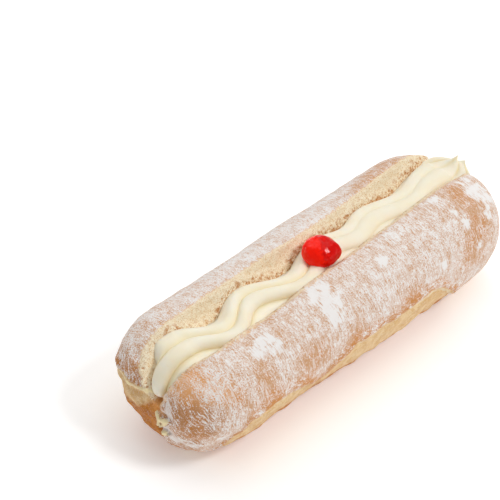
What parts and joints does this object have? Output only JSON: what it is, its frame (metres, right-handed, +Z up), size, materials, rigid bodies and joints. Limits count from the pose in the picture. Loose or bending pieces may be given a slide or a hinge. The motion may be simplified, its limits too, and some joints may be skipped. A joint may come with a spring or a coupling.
{
  "type": "cream-filled long doughnut",
  "caption": "Long fried finger doughnut split along its top, filled with a wavy star-piped rope of cream and topped with a drop of red jam.",
  "frame": {"origin": "middle of the part's extents in X and Y, on the surface it rests on", "axes": "+X along the bun toward the drawn-up tip of the cream, +Y toward the back half of the bun, +Z up"},
  "size_m": [0.1896, 0.069, 0.0557],
  "materials": {
    "crust": "dry fried yeast crust dusted with icing sugar, with a paler band round its sides and a soft open crumb in the split",
    "cream": "smooth soft whipped cream, pale yellow, faintly satin",
    "jam": "wet set jam, bright red, glossy"
  },
  "bodies": {
    "root": {"bun": "crust", "cream": "cream", "jam": "jam"}
  },
  "joints": []
}
